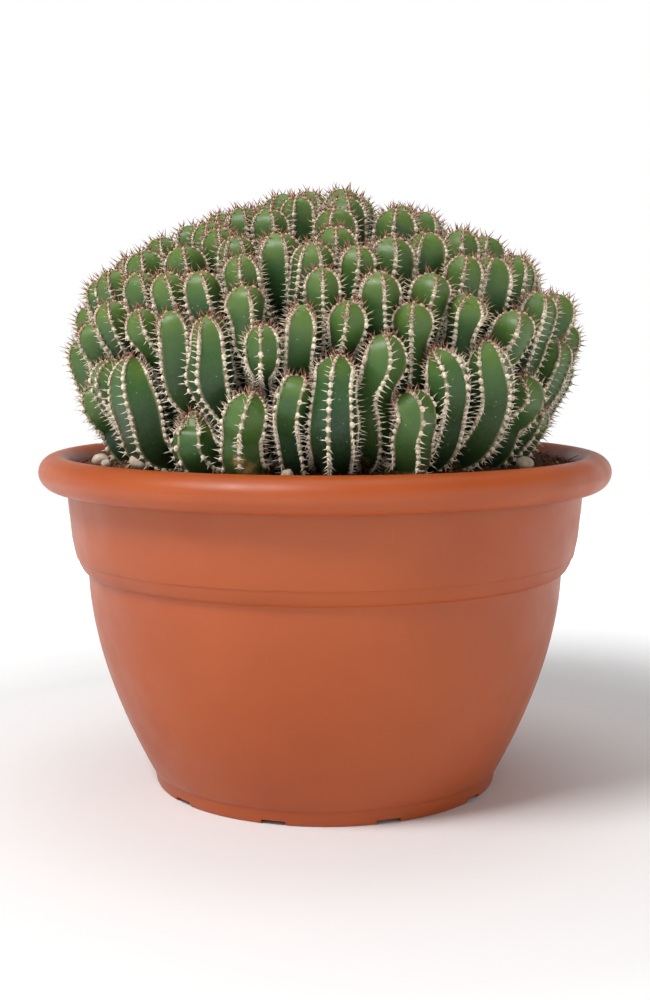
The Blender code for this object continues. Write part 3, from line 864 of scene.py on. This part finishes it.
class CACTUS_OT_soil(bpy.types.Operator):
    """Fills the bowl with soil and scatters crumbs and fibre on it"""

    bl_idname = "cactus.soil"
    bl_label = "Soil"

    def execute(self, context):
        settings = context.scene.cactus
        peat = peat_and_coir(settings)
        soil = add_soil(peat)
        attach(soil, "root")
        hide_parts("soil")
        litter = add_litter(coir_fibre(settings), peat)
        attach(litter, "root")
        return {"FINISHED"}


def soil_height(x, y):
    """The soil's surface: level among the stems, lower at the edge, lumpy all over."""
    radius = math.hypot(x, y)
    slope = (SOIL_LEVEL - SOIL_EDGE) / (SOIL_RADIUS - SOIL_LEVEL_RADIUS)
    height = SOIL_LEVEL - slope * max(0.0, radius - SOIL_LEVEL_RADIUS) - 1.5
    lumps = noise.fractal(Vector((x / 17, y / 17, 3.1)), 1.0, 2.1, 3)
    crumbs = noise.fractal(Vector((x / 4.2, y / 4.2, 8.7)), 0.9, 2.1, 3)
    swell = noise.noise(Vector((x / 55, y / 55, 1.3)))
    fade = min(1.0, max(0.0, (SOIL_RADIUS + 1.0 - radius) / 14.0))
    return height + fade * (3.2 * lumps + 3.0 * swell) + 1.5 * crumbs * min(1.0, fade + 0.4)


def add_soil(material):
    """A fine disc, heaved into crumbs, closed below by the pot's inner shape."""
    deselect()
    bpy.ops.mesh.primitive_grid_add(x_subdivisions=SOIL_GRID, y_subdivisions=SOIL_GRID,
                                    size=2 * SOIL_RADIUS * MM,
                                    location=(0.0, 0.0, SOIL_LEVEL * MM))
    soil = bpy.context.object
    bpy.ops.object.transform_apply(location=True, rotation=False, scale=False)
    for vertex in soil.data.vertices:  # the square grid is drawn in to a disc
        x, y = vertex.co.x / MM / SOIL_RADIUS, vertex.co.y / MM / SOIL_RADIUS
        x, y = x * math.sqrt(1 - y * y / 2), y * math.sqrt(1 - x * x / 2)
        x, y = x * SOIL_RADIUS, y * SOIL_RADIUS
        vertex.co = (x * MM, y * MM, soil_height(x, y) * MM)
    bpy.ops.object.mode_set(mode="EDIT")
    bpy.ops.mesh.select_all(action="SELECT")
    bpy.ops.mesh.region_to_loop()
    for drop, share in ((20.0, 0.985), (60.0, 0.93)):
        bpy.ops.mesh.extrude_edges_move(TRANSFORM_OT_translate={"value": (0.0, 0.0, -drop * MM)})
        bpy.ops.transform.resize(value=(share, share, 1.0), center_override=(0.0, 0.0, 0.0))
    bpy.ops.mesh.edge_face_add()
    bpy.ops.mesh.select_all(action="SELECT")
    bpy.ops.mesh.normals_make_consistent(inside=False)
    bpy.ops.object.mode_set(mode="OBJECT")
    bpy.ops.object.shade_smooth()
    return name_piece("soil_bed", material)


def litter_place(chance):
    """Anywhere on the soil, more often in the open ring outside the stems."""
    shares = (0.45, 0.975) if chance.random() < 0.85 else (0.0, 0.45)
    radius = SOIL_RADIUS * math.sqrt(chance.uniform(*shares))
    azimuth = chance.uniform(-math.pi, math.pi)
    x, y = radius * math.sin(azimuth), -radius * math.cos(azimuth)
    return x, y, soil_height(x, y)


def add_litter(fibre_material, soil_material):
    """Crumbs and short bent fibres lying on the soil."""
    chance = random.Random(LITTER_SEED)
    parts = MeshParts()
    for _ in range(CRUMBS):
        x, y, z = litter_place(chance)
        size = chance.choice((0.7, 0.9, 1.2, 1.6, 2.4)) * chance.uniform(0.8, 1.2)
        axes = [Vector([chance.gauss(0, 1) for _ in range(3)]).normalized() for _ in range(2)]
        add_crumb(parts, np.array([x, y, z + size * 0.35]), size, axes, chance)
    for _ in range(FIBRES):
        x, y, z = litter_place(chance)
        add_fibre(parts, np.array([x, y, z + 0.5]), chance)
    return parts.build("soil_litter", (soil_material, fibre_material))


def add_crumb(parts, centre, size, axes, chance):
    """An eight-faced lump with uneven corners."""
    corners = [np.array(corner, float) for corner in
               ((1, 0, 0), (0, 1, 0), (-1, 0, 0), (0, -1, 0), (0, 0, 1), (0, 0, -1))]
    turn = np.array(axes[0].rotation_difference(axes[1]).to_matrix())
    points = [centre + turn @ (corner * size * chance.uniform(0.55, 1.25)) for corner in corners]
    faces = [(0, 1, 4), (1, 2, 4), (2, 3, 4), (3, 0, 4), (1, 0, 5), (2, 1, 5), (3, 2, 5), (0, 3, 5)]
    parts.add(points, faces, chance.choice((0, 0, 0, 1)), [(0.0, 0.0, 0.0)] * 6, [0.0] * 6)


def add_fibre(parts, start, chance):
    """A three-sided thread of a few bent steps."""
    heading = chance.uniform(0, 2 * math.pi)
    pitch = chance.uniform(-0.15, 0.5)
    width = chance.uniform(0.16, 0.34)
    points, here = [], start.copy()
    steps = chance.randint(3, 5)
    length = chance.uniform(1.6, 3.4)
    for _ in range(steps + 1):
        level = math.cos(pitch)
        forward = np.array([math.cos(heading) * level, math.sin(heading) * level, math.sin(pitch)])
        side = np.cross(forward, (0, 0, 1.0))
        side /= np.linalg.norm(side)
        up = np.cross(side, forward)
        for k in range(3):
            angle = 2 * math.pi * k / 3
            points.append(here + (side * math.cos(angle) + up * math.sin(angle)) * width)
        here = here + forward * length
        heading += chance.uniform(-0.6, 0.6)
        pitch += chance.uniform(-0.45, 0.25)
    faces = [(3 * i + k, 3 * i + (k + 1) % 3, 3 * i + 3 + (k + 1) % 3, 3 * i + 3 + k)
             for i in range(steps) for k in range(3)]
    faces += [(2, 1, 0), (3 * steps, 3 * steps + 1, 3 * steps + 2)]
    parts.add(points, faces, 1, [(0.0, 0.0, 0.0)] * len(points), [0.0] * len(points))


class CACTUS_OT_pebbles(bpy.types.Operator):
    """Wears a round stone into each pebble and lays it on the soil"""

    bl_idname = "cactus.pebbles"
    bl_label = "Pebbles"

    def execute(self, context):
        material = river_pebble(context.scene.cactus)
        for number, node_name in enumerate(PEBBLE_NODES):
            low, high = (np.array(corner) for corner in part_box(node_name))
            deselect()
            bpy.ops.mesh.primitive_ico_sphere_add(subdivisions=4, radius=0.5, location=(low + high) / 2,
                                                  scale=(high - low) * 1.06)
            stone = name_piece(node_name + "_stone", material)
            middle = Vector((low + high) / 2)
            for vertex in stone.data.vertices:
                offset = vertex.co - middle
                place = offset / (Vector(high - low).length * 0.5) * 1.7
                vertex.co = middle + offset * (1.0 + 0.16 * noise.noise(place + Vector((number * 5.0, 0, 0))))
            bpy.ops.object.shade_smooth()
            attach(stone, "root")
            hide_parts(node_name)
        return {"FINISHED"}


class CACTUS_OT_limbs(bpy.types.Operator):
    """Grows every limb: ribbed stems with horny rib cushions and paired spines"""

    bl_idname = "cactus.limbs"
    bl_label = "Limbs"

    def execute(self, context):
        settings = context.scene.cactus
        materials = (stem_skin(settings), horn_cushion(settings), spine_horn(settings))
        tips, girths = all_tips()
        shares = dome_shares()
        axes = np.array([stem_axis(tip, shares) for tip in tips])
        groups = limb_groups(axes[:, 0, :2])
        axes = settle(axes, girths)
        chance = random.Random(STEM_SEED)
        stems = [Stem(rings, girth, chance) for rings, girth in zip(axes, girths)]
        stem_rooms(stems)
        for number, group in enumerate(groups, start=1):
            parts = MeshParts()
            for i in group:
                add_skin(parts, stems[i])
                add_ribs(parts, stems[i], random.Random(RIB_SEED + int(i)))
            limb = parts.build(f"stems_{number:02d}", materials)
            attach(limb, "root")
            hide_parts(f"limb_{number:02d}")
        return {"FINISHED"}


class CACTUS_OT_stage(bpy.types.Operator):
    """A pale floor, soft studio lights and the camera"""

    bl_idname = "cactus.stage"
    bl_label = "Stage"

    def execute(self, context):
        deselect()
        bpy.ops.mesh.primitive_circle_add(vertices=96, radius=1.6, fill_type="NGON",
                                          location=(0.0, 0.0, -0.0002))
        floor = bpy.context.object
        floor.name = "floor"
        made, tree, shader = new_material("matt_white_card")
        shader.inputs["Base Color"].default_value = linear("#F4F4F4")
        shader.inputs["Roughness"].default_value = 0.9
        place = node(tree, "ShaderNodeTexCoord").outputs["Object"]
        reach = node(tree, "ShaderNodeVectorMath", {"operation": "LENGTH"}, i0=place).outputs["Value"]
        glow = ramp(tree, reach, ((0.35, 0.0), (0.95, 1.0)))  # painted glow, rising towards its edge to keep the floor white where the lamps fall off
        tree.links.new(glow, shader.inputs["Emission Color"])
        shader.inputs["Emission Strength"].default_value = 0.75
        floor.data.materials.append(made)
        soft_light("key", (-0.85, -0.95, 1.7), 0.7, 31.0)
        soft_light("fill", (1.3, -1.2, 1.0), 1.2, 1.5)
        soft_light("top", (0.1, 0.3, 1.9), 1.4, 9.0)
        world = bpy.data.worlds.new("studio")
        world.use_nodes = True
        tree = world.node_tree
        height = node(tree, "ShaderNodeSeparateXYZ",
                      Vector=node(tree, "ShaderNodeTexCoord").outputs["Generated"]).outputs["Z"]
        sky = ramp(tree, height, ((0.24, (1.0, 1.0, 1.0, 1.0)), (0.45, (0.2, 0.2, 0.2, 1.0))))
        tree.links.new(sky, tree.nodes["Background"].inputs["Color"])
        tree.nodes["Background"].inputs["Strength"].default_value = 1.0
        context.scene.world = world
        context.scene.view_settings.view_transform = "Standard"
        add_camera(context)
        return {"FINISHED"}


def soft_light(name, place, size, power):
    lamp = bpy.data.lights.new(name, "AREA")
    lamp.shape = "DISK"
    lamp.size = size
    lamp.energy = power
    light = bpy.data.objects.new(name, lamp)
    light.location = place
    light.rotation_euler = (Vector((0.0, 0.0, 0.25)) - Vector(place)).to_track_quat("-Z", "Y").to_euler()
    bpy.context.scene.collection.objects.link(light)


def add_camera(context):
    """One metre in front of the pot's axis and 311 mm up, looking 6.4 degrees down."""
    lens = bpy.data.cameras.new("camera")
    lens.lens = 50.8
    lens.sensor_width = 36.0
    camera = bpy.data.objects.new("camera", lens)
    camera.location = (0.0, -1.0, 0.311)
    camera.rotation_euler = (math.radians(90 - 6.44), 0.0, 0.0)
    context.scene.collection.objects.link(camera)
    context.scene.camera = camera


class CACTUS_PT_panel(bpy.types.Panel):
    """Buttons for every group of pieces"""

    bl_idname = "CACTUS_PT_panel"
    bl_label = "Potted Round Cactus"
    bl_space_type = "VIEW_3D"
    bl_region_type = "UI"
    bl_category = "Cactus"

    def draw(self, context):
        for name in CactusSettings.__annotations__:
            self.layout.prop(context.scene.cactus, name)
        for operator in OPERATORS:
            self.layout.operator(operator.bl_idname)


OPERATORS = (CACTUS_OT_pot, CACTUS_OT_soil, CACTUS_OT_pebbles, CACTUS_OT_limbs, CACTUS_OT_stage)
CLASSES = (CactusSettings, *OPERATORS, CACTUS_PT_panel)


def register():
    for each in CLASSES:
        bpy.utils.register_class(each)
    bpy.types.Scene.cactus = bpy.props.PointerProperty(type=CactusSettings)


def unregister():
    del bpy.types.Scene.cactus
    for each in reversed(CLASSES):
        bpy.utils.unregister_class(each)


def main():
    register()
    bpy.ops.cactus.pot()
    bpy.ops.cactus.soil()
    bpy.ops.cactus.pebbles()
    bpy.ops.cactus.limbs()
    bpy.ops.cactus.stage()


if __name__ == "__main__":
    main()
